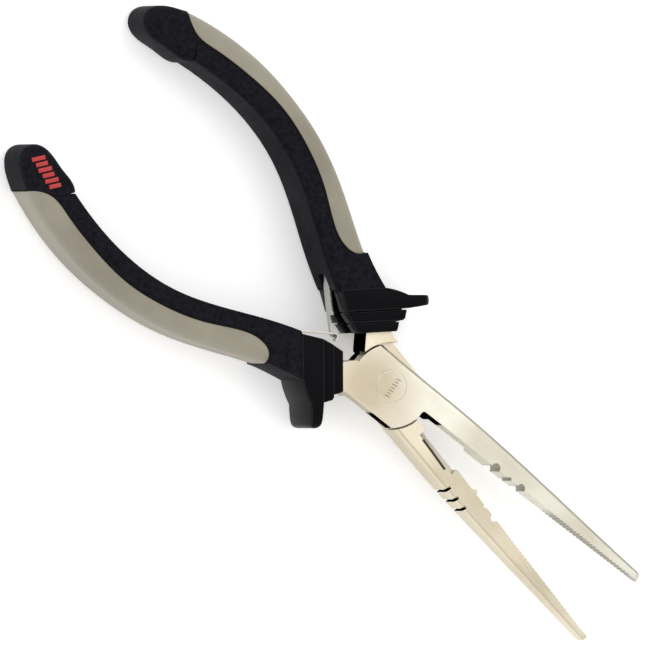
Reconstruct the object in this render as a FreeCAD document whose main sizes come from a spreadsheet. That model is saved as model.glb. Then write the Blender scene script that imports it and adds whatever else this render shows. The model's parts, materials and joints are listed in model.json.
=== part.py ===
import FreeCAD, Part
import math
import os

# Long-nose fishing pliers with a lap joint, moulded two-colour grips and two leaf springs.
# The frame is X from the handle ends to the jaw tips, Y across the jaws, Z up from the
# surface that the tool lies on.  Each half of the tool is drawn in its own plane frame, with
# the pivot at (0, 0), the jaws closed and the mid-plane at z = 0: its jaw is on +Y and its
# handle on -Y.  The back half is the front half turned over about X.

V = FreeCAD.Vector
doc = FreeCAD.newDocument("FishingPliers")
sheet = doc.addObject("Spreadsheet::Sheet", "Dims")
sheet.Label = "Dims"

DRIVING = {
    "pivot_x": 15.97,           # pivot ahead of the middle of the tool's length
    "open_half_angle": 6.6,     # each half stands this far from closed, at rest
    "steel_thickness": 10.0,
    "lap_gap": 0.05,            # running gap between the two lapped faces
    "disc_radius": 11.4,
    "shoulder_radius": 11.9,
    "jaw_length": 89.5,
    "jaw_gap": 0.15,            # each gripping face from the closing plane
    "tip_thickness": 3.8,
    "taper_start": 20.0,
    "edge_round": 1.2,
    "tang_thickness": 5.6,
    "grip_thickness": 19.0,
    "grip_round": 2.0,
    "insert_round": 4.4,
    "cap_round": 3.4,
    "core_inset": 2.2,
    "core_thickness": 13.0,
    "tang_inset": 3.9,
    "lug_thickness": 19.0,
    "first_tier_thickness": 17.2,
    "second_tier_thickness": 15.6,
    "tier_groove": 0.4,
    "rivet_radius": 3.5,
    "rivet_head_radius": 4.4,
    "rivet_head_depth": 0.9,
    "running_clearance": 0.05,
    "leaf_thickness": 0.6,
    "leaf_width": 4.4,
    "leaf_standoff": 0.12,      # the leaf's back from the tang's face
    "channel_width": 5.2,
    "spring_rivet_radius": 1.2,
    "spring_rivet_head": 2.0,
    "notch_width": 0.9,
    "notch_depth": 1.4,
    "groove_pitch": 1.2,
    "groove_depth": 0.25,
    "cutter_start": 15.4,       # rear end of the cutter's bevels
    "cutter_length": 14.2,
    "cutter_bevel": 1.0,
    "cutter_wide_bevel": 2.4,
}
for row, (alias, value) in enumerate(DRIVING.items(), start=1):
    sheet.set(f"A{row}", alias)
    sheet.set(f"B{row}", str(value))
    sheet.setAlias(f"B{row}", alias)
doc.recompute()


def dim(name):
    """A driving dimension, read back from the sheet."""
    return float(sheet.get(name))


# ---------------------------------------------------------------- curves of the handle
# Grip outline of a half: outer side (away from the other handle) and inner side.
GRIP_OUTER = [(-115.6, -20.2), (-101.0, -25.6), (-89.8, -27.8), (-79.0, -28.4), (-67.2, -27.7),
              (-54.5, -24.9), (-41.0, -20.0), (-33.0, -17.0), (-25.7, -15.3), (-20.5, -14.5),
              (-12.0, -13.4)]
GRIP_INNER = [(-104.3, -12.7), (-92.0, -16.1), (-79.0, -17.6), (-67.0, -16.7), (-56.0, -13.6),
              (-46.0, -9.6), (-36.0, -5.7), (-28.0, -3.3), (-15.0, -0.7)]
# Edge of the soft insert on the broad faces of the grip.
INSERT_EDGE = [(-115.6, -20.2), (-112.8, -18.3), (-109.0, -17.5), (-103.0, -18.9),
               (-92.0, -21.7), (-79.0, -23.4), (-66.0, -22.1), (-54.0, -18.5), (-46.0, -14.8),
               (-39.8, -13.1), (-35.4, -13.9), (-33.0, -17.0)]
SEAM = V(-109.0, -17.5, 0)      # where insert, skin and cap meet
# Outline of the end cap.
CAP_OUTLINE = [(-104.3, -12.2), (-105.4, -11.2), (-111.0, -9.4), (-116.8, -7.8), (-120.6, -8.3),
               (-122.8, -10.8), (-122.9, -13.0), (-121.8, -15.2), (-119.4, -17.6), (-115.6, -20.2)]

# The guard's rings lie square to this direction, which points from the grip to the pivot.
RING_TILT = math.radians(37.0)
ALONG = V(math.cos(RING_TILT), math.sin(RING_TILT), 0)
OUTWARD = V(math.sin(RING_TILT), -math.cos(RING_TILT), 0)
GRIP_FRONT = -26.8              # where the grip ends and the guard begins, along ALONG
GUARD_FRONT = -14.8


def ring(along, outward):
    """A point of the guard, from its distances along the handle and outward."""
    return ALONG * along + OUTWARD * outward


def vectors(points):
    """Points of a plane outline as vectors."""
    return [V(x, y, 0) for x, y in points]


def spline(points):
    """A smooth curve through the points."""
    curve = Part.BSplineCurve()
    curve.interpolate(points)
    return curve


def shifted(points, distance):
    """The points of a smooth curve moved square to it, to the left of its direction."""
    curve = spline(points)
    moved = []
    for point in points:
        tangent = curve.tangent(curve.parameter(point))[0]
        moved.append(point + V(-tangent.y, tangent.x, 0) * distance)
    return moved


def turned(point, degrees, centre=V(0, 0, 0)):
    """A point turned about an axis along Z through the centre."""
    return centre + FreeCAD.Rotation(V(0, 0, 1), degrees).multVec(point - centre)


# ---------------------------------------------------------------- placing the two halves
def placement(side):
    """Where a half's plane frame stands in the tool's frame, at rest."""
    lift = V(dim("pivot_x"), 0, dim("grip_thickness") / 2)
    swing = dim("open_half_angle")
    if side == "front":
        return FreeCAD.Placement(lift, FreeCAD.Rotation(V(0, 0, 1), swing))
    turn_over = FreeCAD.Rotation(V(1, 0, 0), 180)
    return FreeCAD.Placement(lift, FreeCAD.Rotation(V(0, 0, 1), -swing).multiply(turn_over))


# ---------------------------------------------------------------- sketch and feature helpers
def new_body(label):
    """An empty body with its label."""
    body = doc.addObject("PartDesign::Body", label)
    body.Label = label
    return body


def plane_sketch(body, name, plane="XY_Plane", offset=0.0):
    """A sketch on one of the body's own origin planes."""
    sketch = body.newObject("Sketcher::SketchObject", f"{body.Name}_{name}")
    origin = [item for item in body.Origin.OriginFeatures if item.Role == plane][0]
    sketch.AttachmentSupport = (origin, [""])
    sketch.MapMode = "FlatFace"
    if offset:
        sketch.AttachmentOffset = FreeCAD.Placement(V(0, 0, offset), FreeCAD.Rotation())
    return sketch


def draw(sketch, *pieces):
    """Draw a closed outline: each piece is a curve, or a list of corners joined by lines."""
    for piece in pieces:
        if isinstance(piece, list):
            for start, end in zip(piece, piece[1:]):
                sketch.addGeometry(Part.LineSegment(start, end), False)
        else:
            sketch.addGeometry(piece, False)


def polygon(sketch, points):
    """Draw a closed polygon."""
    draw(sketch, points + points[:1])


def pad(body, sketch, thickness):
    """Pad a sketch to both sides by a sheet expression for the whole thickness."""
    feature = body.newObject("PartDesign::Pad", f"{sketch.Name}_Pad")
    feature.Profile = sketch
    feature.Midplane = True
    feature.setExpression("Length", thickness)
    doc.recompute()
    return feature


def pocket(body, sketch, thickness, midplane=True, reverse=False):
    """Cut a sketch out of the body, and stop if nothing was cut."""
    before = body.Shape.Volume
    feature = body.newObject("PartDesign::Pocket", f"{sketch.Name}_Pocket")
    feature.Profile = sketch
    feature.Midplane = midplane
    feature.Reversed = reverse
    feature.setExpression("Length", thickness)
    doc.recompute()
    if not body.Shape.Volume < before - 1e-4:
        raise RuntimeError(f"{feature.Name} cuts nothing")
    return feature


def fillet(body, chooses, radius):
    """Round the edges of the body that the test chooses."""
    base = body.Tip
    names = [f"Edge{i}" for i, edge in enumerate(base.Shape.Edges, start=1) if chooses(edge)]
    if not names:
        raise RuntimeError(f"{body.Label}: no edge to round")
    feature = body.newObject("PartDesign::Fillet", f"{body.Name}_Fillet{len(body.Group)}")
    feature.Base = (base, names)
    feature.setExpression("Radius", radius)
    doc.recompute()
    if not feature.isValid():
        raise RuntimeError(f"{feature.Name}: the edges can't be rounded")
    return feature


def middle(edge):
    """The middle point of an edge."""
    return edge.valueAt((edge.FirstParameter + edge.LastParameter) / 2)


def flat(edge):
    """Whether an edge lies in a plane z = constant."""
    return edge.BoundBox.ZLength < 1e-3


def distance_to(point, curve):
    """How far a point is from a smooth curve in plan."""
    near = curve.value(curve.parameter(V(point.x, point.y, 0)))
    return (near - V(point.x, point.y, 0)).Length


# ---------------------------------------------------------------- outlines used by several parts
def trimmed(curve, along):
    """A curve cut off where it crosses a ring plane of the guard."""
    low, high = curve.FirstParameter, curve.LastParameter
    for _ in range(40):
        half_way = (low + high) / 2
        if curve.value(half_way).dot(ALONG) < along:
            low = half_way
        else:
            high = half_way
    cut = curve.copy()
    cut.segment(curve.FirstParameter, half_way)
    return cut


def band(inset, rear_outer, rear_inner, front_along):
    """The two sides of the grip moved in, from a rear end to a ring plane."""
    sides = []
    for points, rear, way in ((GRIP_OUTER, rear_outer, 1), (GRIP_INNER, rear_inner, -1)):
        moved = shifted(vectors(points), way * inset)
        kept = [rear] + [p for p in moved if p.x > rear.x + 4.0]
        sides.append(trimmed(spline(kept), front_along))
    return sides


def draw_band(sketch, outer, inner):
    """Draw a band closed by straight ends."""
    draw(sketch, outer, [outer.EndPoint, inner.EndPoint], inner,
         [inner.StartPoint, outer.StartPoint])


def tang_band():
    """The flat steel tang inside the grip."""
    return band(dim("tang_inset"), V(-109.0, -16.7, 0), V(-108.4, -14.2, 0), GRIP_FRONT + 5.4)


def core_band(front_along):
    """The hidden core round the tang."""
    return band(dim("core_inset"), V(-116.4, -16.4, 0), V(-114.8, -11.6, 0), front_along)


NECK_INNER = [ring(-22.6, -9.3), ring(-15.0, -6.4)]
NECK_OUTER = [ring(-22.6, -2.6), ring(-15.0, 0.6)]

# ---------------------------------------------------------------- leaf spring geometry
LEAF_ROOT_X = -40.0
LEAF_TIP = V(-20.7, 2.4, 0)
LEAF_TIP_CLOSED_Y = -0.35
LEAF_TAIL = 2.6
CURL_RADIUS = 0.9
RIVET_DEPTH = 2.4               # how far the spring rivet reaches into the tang


def leaf_root():
    """The point where the leaf is riveted, in the middle of its thickness."""
    inner = tang_band()[1]
    start = inner.parameter(V(LEAF_ROOT_X, -11.4, 0))
    tangent = inner.tangent(start)[0]
    normal = V(-tangent.y, tangent.x, 0)
    return inner.value(start) + normal * (dim("leaf_thickness") / 2 + dim("leaf_standoff")), tangent


def leaf_flex_degrees():
    """How far the leaf turns at its root while the tool closes."""
    root = leaf_root()[0]
    arm = LEAF_TIP - root
    rest = math.degrees(math.atan2(arm.y, arm.x))
    closed = math.degrees(math.asin((LEAF_TIP_CLOSED_Y - root.y) / arm.Length))
    return closed - rest


def cut_channel(body):
    """Cut the channel that the leaf spring moves in out of a moulding."""
    root = leaf_root()[0]
    direction = (LEAF_TIP - root).normalize()
    side = V(-direction.y, direction.x, 0)
    low = turned(direction, leaf_flex_degrees())
    low_side = V(-low.y, low.x, 0)
    sketch = plane_sketch(body, "Channel")
    polygon(sketch, [
        root - low * 4.0 - low_side * 1.1,
        root + low * 9.0 - low_side * 0.8,
        root + low * 16.0 - low_side * 2.6,
        root + low * 30.0 - low_side * 2.6,
        root + low * 30.0 + side * 14.0,
        root + direction * 11.0 + side * 8.0,
        root + direction * 7.0 + side * 0.95,
        root + direction * 3.2 + side * 2.45,
        root - direction * 4.0 + side * 2.45,
    ])
    pocket(body, sketch, "Dims.channel_width")


# ---------------------------------------------------------------- steel halves
def jaw_outer_curve():
    """Outer edge of the jaw, from the joint to the tip."""
    joint_corner = V(-8.5, math.sqrt(dim("disc_radius") ** 2 - 8.5 ** 2), 0)
    return [joint_corner, V(6.0, 7.1, 0), V(28.0, 6.6, 0), V(50.0, 5.3, 0),
            V(dim("jaw_length"), 2.4, 0)]


def make_jaw_half(side):
    """One forged half: jaw, lapped disc, neck and tang."""
    body = new_body(f"{side}_jaw_half")
    disc = dim("disc_radius")
    gap = dim("jaw_gap")
    outer = jaw_outer_curve()
    tip = dim("jaw_length")
    outline = plane_sketch(body, "Outline")
    throat = V(math.sqrt(disc ** 2 - 0.3 ** 2), -0.3, 0)
    heel_angle = math.radians(-53.5)
    heel = V(disc * math.cos(heel_angle), disc * math.sin(heel_angle), 0)
    half_heel = V(disc * math.cos(heel_angle / 2), disc * math.sin(heel_angle / 2), 0)
    crotch = V(-math.sqrt(disc ** 2 - 0.3 ** 2), -0.3, 0)
    crown_angle = math.radians(160.0)
    crown = V(disc * math.cos(crown_angle), disc * math.sin(crown_angle), 0)
    draw(outline,
         [V(tip, gap, 0), V(dim("shoulder_radius") + 0.03, gap, 0), throat],
         Part.Arc(throat, half_heel, heel),
         [heel, V(-9.4, -9.1, 0), NECK_OUTER[1], NECK_OUTER[0], NECK_INNER[0], NECK_INNER[1],
          V(-12.2, -0.3, 0), crotch],
         Part.Arc(crotch, crown, outer[0]),
         spline(outer),
         [outer[-1], V(tip, gap, 0)])
    pad(body, outline, "Dims.steel_thickness")

    taper = plane_sketch(body, "Taper", "XZ_Plane")
    half = dim("steel_thickness") / 2
    half_tip = dim("tip_thickness") / 2
    start = dim("taper_start")
    slope = math.atan2(half - half_tip, tip - start)
    ease = 6.0
    ease_radius = ease / math.tan(slope / 2)
    flat_end = V(start - ease, half, 0)
    centre = flat_end - V(0, ease_radius, 0)
    eased = [centre + V(math.sin(turn), math.cos(turn), 0) * ease_radius
             for turn in (slope / 2, slope)]
    far = eased[1] + V(math.cos(slope), -math.sin(slope), 0) * (tip - start)
    corners = [far, V(far.x, half + 2.0, 0), V(flat_end.x, half + 2.0, 0), flat_end]
    for way in (1, -1):
        def flipped(point):
            return V(point.x, way * point.y, 0)
        draw(taper, Part.Arc(flipped(flat_end), flipped(eased[0]), flipped(eased[1])),
             [flipped(eased[1])] + [flipped(corner) for corner in corners])
    pocket(body, taper, "Dims.steel_thickness * 4")

    def on_outer_edge(edge):
        point = middle(edge)
        if abs(point.z) < 0.4 * half_tip or point.x < start + ease:
            return False
        return point.y > 2.0 and distance_to(point, spline(outer)) < 0.05

    fillet(body, lambda e: abs(middle(e).x - tip) < 0.01 and abs(middle(e).z) < 0.01
           and middle(e).y > 1.0, "Dims.edge_round * 1.5")
    fillet(body, on_outer_edge, "Dims.edge_round")

    tang = plane_sketch(body, "Tang")
    draw_band(tang, *tang_band())
    pad(body, tang, "Dims.tang_thickness")

    lap = plane_sketch(body, "Lap")
    lap.addGeometry(Part.Circle(V(0, 0, 0), V(0, 0, 1), dim("shoulder_radius")), False)
    lap.AttachmentOffset = FreeCAD.Placement(V(0, 0, dim("lap_gap") / 2), FreeCAD.Rotation())
    pocket(body, lap, "Dims.steel_thickness", midplane=False)

    bore = plane_sketch(body, "Bore")
    play = 0.0 if side == "front" else dim("running_clearance")
    bore.addGeometry(Part.Circle(V(0, 0, 0), V(0, 0, 1), dim("rivet_radius") + play), False)
    pocket(body, bore, "Dims.steel_thickness * 2")
    sink = body.newObject("PartDesign::Groove", f"{body.Name}_Countersink")
    cone = plane_sketch(body, "Cone", "XZ_Plane")
    head = dim("rivet_head_radius") + play
    polygon(cone, [V(0, half + 1.0, 0), V(head + 1.0, half + 1.0, 0), V(head + 1.0, half, 0),
                   V(head, half, 0), V(dim("rivet_radius") + play, half - dim("rivet_head_depth"), 0),
                   V(0, half - dim("rivet_head_depth"), 0)])
    sink.Profile = cone
    sink.ReferenceAxis = (cone, ["V_Axis"])
    body.Tip = sink
    doc.recompute()

    cut_cutter_bevels(body, side)
    cut_crimper(body, side)
    cut_gripping_grooves(body)
    if side == "back":
        cut_wire_notches(body)
    cut_rivet_hole(body, 0.0)
    return body


def cut_cutter_bevels(body, side):
    """Grind the cutter's bevels: the front jaw has one, underneath, and the back jaw has two."""
    narrow = dim("cutter_bevel")
    widths = {"front": [(-1, narrow)], "back": [(-1, dim("cutter_wide_bevel")), (1, narrow)]}[side]
    sketch = plane_sketch(body, "Cutter", "YZ_Plane", dim("cutter_start"))
    top = dim("steel_thickness") / 2 + 0.2
    gap = dim("jaw_gap")
    for way, width in widths:
        polygon(sketch, [V(gap - 0.2, way * 0.5, 0), V(gap, way * 0.5, 0),
                         V(gap + width, way * top, 0), V(gap - 0.2, way * top, 0)])
    pocket(body, sketch, "Dims.cutter_length", midplane=False, reverse=True)


def cut_crimper(body, side):
    """Cut the crimper's round recesses, and raise its tooth on the back half."""
    gap = dim("jaw_gap")
    recesses = {"front": [(37.6, 1.3), (42.6, 0.55), (46.8, 1.15)],
                "back": [(42.6, 0.55), (46.8, 1.15)]}[side]
    sketch = plane_sketch(body, "Crimper")
    for x, radius in recesses:
        sketch.addGeometry(Part.Circle(V(x, gap, 0), V(0, 0, 1), radius), False)
    pocket(body, sketch, "Dims.steel_thickness * 2")
    if side == "back":
        tooth = plane_sketch(body, "Tooth")
        draw(tooth, Part.Arc(V(36.7, gap, 0), V(37.6, gap - 0.9, 0), V(38.5, gap, 0)),
             [V(38.5, gap, 0), V(38.5, 1.5, 0), V(36.7, 1.5, 0), V(36.7, gap, 0)])
        pad(body, tooth, "Dims.steel_thickness * 0.8")


def cut_gripping_grooves(body):
    """Cut fine cross grooves in the gripping face of the nose."""
    gap = dim("jaw_gap")
    depth = dim("groove_depth")
    pitch = dim("groove_pitch")
    sketch = plane_sketch(body, "Grooves")
    count = int((dim("jaw_length") - 2.0 - 52.0) / pitch)
    for i in range(count):
        x = 52.0 + i * pitch
        polygon(sketch, [V(x, gap - 0.1, 0), V(x + 2 * depth, gap - 0.1, 0),
                         V(x + 2 * depth, gap, 0), V(x + depth, gap + depth, 0), V(x, gap, 0)])
    pocket(body, sketch, "Dims.steel_thickness * 2")


def cut_wire_notches(body):
    """Saw the three wire notches into the jaw's outer edge."""
    sketch = plane_sketch(body, "Notches")
    half = dim("notch_width") / 2
    for x in (31.8, 35.4, 38.8):
        low = V(x + 0.25, 6.4 - dim("notch_depth"), 0)
        high = V(x - 0.25, 8.5, 0)
        across = V(half, 0, 0)
        draw(sketch, [low - across, high - across, high + across, low + across],
             Part.Arc(low + across, low - V(0, half, 0), low - across))
    pocket(body, sketch, "Dims.steel_thickness * 2")


# ---------------------------------------------------------------- mouldings on the tang
def make_grip_core(side):
    """The rigid inner sleeve moulded round the tang."""
    body = new_body(f"{side}_grip_core")
    sketch = plane_sketch(body, "Outline")
    draw_band(sketch, *core_band(GRIP_FRONT))
    pad(body, sketch, "Dims.core_thickness")
    tang = plane_sketch(body, "Tang")
    draw_band(tang, *tang_band())
    pocket(body, tang, "Dims.tang_thickness")
    cut_channel(body)
    return body


def cut_core(body):
    """Cut the core's space out of an outer moulding."""
    sketch = plane_sketch(body, "CoreSpace")
    draw_band(sketch, *core_band(GRIP_FRONT))
    pocket(body, sketch, "Dims.core_thickness")


def insert_edge():
    """The edge between the insert and the harder mouldings, on the broad faces."""
    return spline(vectors(INSERT_EDGE))


def insert_outer_points():
    """The insert's outer side, on the outer side of the grip."""
    front = V(*INSERT_EDGE[-1], 0)
    return [p for p in vectors(GRIP_OUTER) if p.x < front.x - 3.0] + [front]


def insert_outline(sketch, proud):
    """Draw the soft insert's outline, with its outer side moved out."""
    edge = insert_edge()
    far = [p - V(0, proud, 0) for p in insert_outer_points()]
    draw(sketch, edge, spline(far))
    if proud:
        draw(sketch, [edge.EndPoint, far[-1]], [far[0], edge.StartPoint])


def make_grip_skin(side):
    """The black outer moulding of the grip."""
    body = new_body(f"{side}_grip_skin")
    sketch = plane_sketch(body, "Outline")
    outer, inner = band(0.0, vectors(GRIP_OUTER)[0], vectors(GRIP_INNER)[0], GRIP_FRONT)
    draw(sketch, outer, [outer.EndPoint, inner.EndPoint], inner,
         [inner.StartPoint, SEAM, outer.StartPoint])
    pad(body, sketch, "Dims.grip_thickness")
    space = plane_sketch(body, "InsertSpace")
    insert_outline(space, 6.0)
    pocket(body, space, "Dims.grip_thickness * 2")
    fillet(body, lambda e: flat(e) and distance_to(middle(e), inner) < 0.05, "Dims.grip_round")
    cut_core(body)
    cut_channel(body)
    return body


def make_grip_insert(side):
    """The soft insert that wraps the outer side of the grip."""
    body = new_body(f"{side}_grip_insert")
    sketch = plane_sketch(body, "Outline")
    insert_outline(sketch, 0)
    pad(body, sketch, "Dims.grip_thickness")
    outer = spline(insert_outer_points())
    fillet(body, lambda e: flat(e) and distance_to(middle(e), outer) < 0.05, "Dims.insert_round")
    cut_core(body)
    return body


def make_end_cap(side):
    """The rounded black cap on the end of the handle."""
    body = new_body(f"{side}_end_cap")
    sketch = plane_sketch(body, "Outline")
    rim = spline(vectors(CAP_OUTLINE))
    border = insert_edge()
    border.segment(border.FirstParameter, border.parameter(SEAM))
    draw(sketch, rim, border, [SEAM, rim.StartPoint])
    pad(body, sketch, "Dims.grip_thickness")
    fillet(body, lambda e: flat(e) and distance_to(middle(e), rim) < 0.05, "Dims.cap_round")
    cut_core(body)
    return body


def round_lug_corners(body):
    """Round the two free corners of the finger lug."""
    sketch = plane_sketch(body, "LugCorners")
    facing = FreeCAD.Rotation(OUTWARD, V(0, 0, 1), OUTWARD.cross(V(0, 0, 1)), "XYZ")
    sketch.AttachmentOffset = FreeCAD.Placement(V(0, 0, 0), facing)
    top = dim("lug_thickness") / 2 + 0.1
    for way in (1, -1):
        draw(sketch, [V(8.0, way * top, 0), V(13.0, way * top, 0), V(13.0, way * 4.6, 0),
                      V(11.4, way * 4.6, 0)],
             Part.Arc(V(11.4, way * 4.6, 0), V(10.5, way * 8.3, 0), V(8.0, way * top, 0)))
    pocket(body, sketch, "Dims.steel_thickness * 8")


def make_finger_guard(side):
    """The stepped guard ahead of the grip, with its finger lug."""
    body = new_body(f"{side}_finger_guard")
    groove = dim("tier_groove")
    neck = plane_sketch(body, "Base")
    polygon(neck, [ring(GRIP_FRONT, -14.4), ring(GRIP_FRONT, -2.0), ring(-24.0, 3.6),
                   ring(-17.7, 3.3), ring(-17.4, 1.5), ring(-15.2, 1.2),
                   ring(-15.2, -9.4), ring(-18.0, -10.8), ring(-21.0, -12.3)])
    pad(body, neck, "Dims.second_tier_thickness - Dims.tier_groove * 4")

    lug = plane_sketch(body, "Lug")
    rear = [ring(GRIP_FRONT, -14.3), ring(GRIP_FRONT, -1.7)]
    draw(lug, [rear[0], rear[1]],
         Part.Arc(rear[1], ring(-25.9, 1.6), ring(-24.5, 4.8)),
         [ring(-24.5, 4.8), ring(-24.2, 9.8)],
         Part.Arc(ring(-24.2, 9.8), ring(-22.7, 11.3), ring(-21.4, 9.9)),
         [ring(-21.4, 9.9), ring(-20.9, 4.6), ring(-20.9, -12.9), rear[0]])
    pad(body, lug, "Dims.lug_thickness")
    round_lug_corners(body)

    first = plane_sketch(body, "FirstTier")
    polygon(first, [ring(-20.9 + groove, -12.8), ring(-20.9 + groove, 4.3),
                    ring(-18.2, 3.7), ring(-17.7, 3.0), ring(-17.7, -11.3)])
    pad(body, first, "Dims.first_tier_thickness")
    second = plane_sketch(body, "SecondTier")
    polygon(second, [ring(-17.7 + groove, -11.1), ring(-17.7 + groove, 2.2),
                     ring(-15.3, 1.7), ring(GUARD_FRONT, 1.3), ring(GUARD_FRONT, -9.5)])
    pad(body, second, "Dims.second_tier_thickness")
    cut = plane_sketch(body, "NeckSpace")
    polygon(cut, [ring(GUARD_FRONT + 3.0, -6.4 + (GUARD_FRONT + 3.0 + 15.0) * 2.9 / 7.6),
                  NECK_INNER[0], NECK_OUTER[0],
                  ring(GUARD_FRONT + 3.0, 0.6 + (GUARD_FRONT + 3.0 + 15.0) * 3.2 / 7.6)])
    pocket(body, cut, "Dims.steel_thickness")
    tang = plane_sketch(body, "TangSpace")
    draw_band(tang, *tang_band())
    pocket(body, tang, "Dims.tang_thickness")
    cut_channel(body)
    return body


# ---------------------------------------------------------------- springs and rivets
def make_leaf_spring(side):
    """A leaf spring: half its width at the free end, so that the two leaves pass."""
    body = new_body(f"{side}_leaf_spring")
    root, tangent = leaf_root()
    direction = (LEAF_TIP - root).normalize()
    side_way = V(-direction.y, direction.x, 0)
    half = dim("leaf_thickness") / 2
    tip = LEAF_TIP
    mid = root + direction * 9.0 + side_way * 0.25
    centre = [root, mid, tip]
    top = shifted(centre, half)
    low = shifted(centre, -half)
    flat_side = V(-tangent.y, tangent.x, 0)
    tail = root - tangent * LEAF_TAIL
    sketch = plane_sketch(body, "Profile")
    end = spline(centre).tangent(1.0)[0]
    end_side = V(-end.y, end.x, 0)
    curl = tip - end_side * CURL_RADIUS
    outer_mid = curl + end * (CURL_RADIUS + half)
    inner_mid = curl + end * (CURL_RADIUS - half)
    outer_end = curl - end_side * (CURL_RADIUS + half)
    inner_end = curl - end_side * (CURL_RADIUS - half)
    draw(sketch, [low[0], tail - flat_side * half, tail + flat_side * half, top[0]],
         spline(top), Part.Arc(top[-1], outer_mid, outer_end), [outer_end, inner_end],
         Part.Arc(inner_end, inner_mid, low[-1]), spline(low))
    pad(body, sketch, "Dims.leaf_width")
    slot = plane_sketch(body, "HalfWidth", offset=0.15)
    before_curl = tip - direction * 5.0
    polygon(slot, [before_curl + side_way * 3.0, before_curl - side_way * 5.0,
                   tip + direction * 4.0 - side_way * 5.0, tip + direction * 4.0 + side_way * 3.0])
    pocket(body, slot, "Dims.leaf_width", midplane=False)
    cut_rivet_hole(body, 0.15)
    return body


def rivet_sketch(body, name):
    """A sketch whose vertical axis is the spring rivet's axis, with 0 at the tang's face."""
    root, tangent = leaf_root()
    angle = math.degrees(math.atan2(tangent.y, tangent.x))
    normal = V(-tangent.y, tangent.x, 0)
    face = root - normal * (dim("leaf_thickness") / 2 + dim("leaf_standoff"))
    sketch = plane_sketch(body, name)
    sketch.AttachmentOffset = FreeCAD.Placement(face, FreeCAD.Rotation(V(0, 0, 1), angle))
    return sketch


def cut_rivet_hole(body, play):
    """Cut the spring rivet's hole out of the tang or the leaf."""
    before = body.Shape.Volume
    sketch = rivet_sketch(body, "RivetHole")
    radius = dim("spring_rivet_radius") + play
    polygon(sketch, [V(0, -RIVET_DEPTH, 0), V(radius, -RIVET_DEPTH, 0), V(radius, 3.0, 0),
                     V(0, 3.0, 0)])
    hole = body.newObject("PartDesign::Groove", f"{body.Name}_RivetGroove")
    hole.Profile = sketch
    hole.ReferenceAxis = (sketch, ["V_Axis"])
    doc.recompute()
    if not body.Shape.Volume < before - 1e-4:
        raise RuntimeError(f"{hole.Name} cuts nothing")


def make_spring_rivet(side):
    """The small rivet that holds the leaf spring to the tang."""
    body = new_body(f"{side}_spring_rivet")
    sketch = rivet_sketch(body, "Profile")
    radius = dim("spring_rivet_radius")
    head = dim("spring_rivet_head")
    under = dim("leaf_thickness") + dim("leaf_standoff") + 0.6
    polygon(sketch, [V(0, -RIVET_DEPTH, 0), V(radius, -RIVET_DEPTH, 0), V(radius, under, 0),
                     V(head, under, 0), V(head, under + 0.35, 0),
                     V(head * 0.6, under + 0.8, 0), V(0, under + 0.8, 0)])
    turn = body.newObject("PartDesign::Revolution", f"{side}_spring_rivet_Turn")
    turn.Profile = sketch
    turn.ReferenceAxis = (sketch, ["V_Axis"])
    doc.recompute()
    return body


def make_pivot_rivet():
    """The flush rivet that the two halves turn on."""
    body = new_body("pivot_rivet")
    half = dim("steel_thickness") / 2
    radius = dim("rivet_radius")
    head = dim("rivet_head_radius")
    depth = dim("rivet_head_depth")
    sketch = plane_sketch(body, "Profile", "XZ_Plane")
    polygon(sketch, [V(0, -half, 0), V(head, -half, 0), V(radius, -half + depth, 0),
                     V(radius, half - depth, 0), V(head, half, 0), V(0, half, 0)])
    turn = body.newObject("PartDesign::Revolution", "pivot_rivet_Turn")
    turn.Profile = sketch
    turn.ReferenceAxis = (sketch, ["V_Axis"])
    doc.recompute()
    return body


def main():
    parts = []
    for side in ("front", "back"):
        parts.append(make_jaw_half(side))
        parts.append(make_grip_core(side))
        parts.append(make_grip_skin(side))
        parts.append(make_grip_insert(side))
        parts.append(make_end_cap(side))
        parts.append(make_finger_guard(side))
        parts.append(make_leaf_spring(side))
        parts.append(make_spring_rivet(side))
    parts.append(make_pivot_rivet())
    for part in parts:
        part.Placement = placement("back" if part.Label.startswith("back") else "front")
    doc.recompute()
    for item in doc.Objects:
        if "Invalid" in item.State or "Error" in item.State:
            raise RuntimeError(f"{item.Name} is {item.State}")
    os.makedirs("parts", exist_ok=True)
    for part in parts:
        shape = part.Shape
        if shape.isNull() or not shape.isValid():
            raise RuntimeError(f"{part.Label} has no valid shape")
        print(part.Label, round(shape.Volume, 1), len(shape.Solids), len(shape.Faces))
        shape.exportStep(f"parts/{part.Label}.step")


main()
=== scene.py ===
import json
import logging
import math
from dataclasses import dataclass, field
from enum import Enum
from typing import Callable, Optional, Sequence

import bpy
from mathutils import Matrix, Vector


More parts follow.
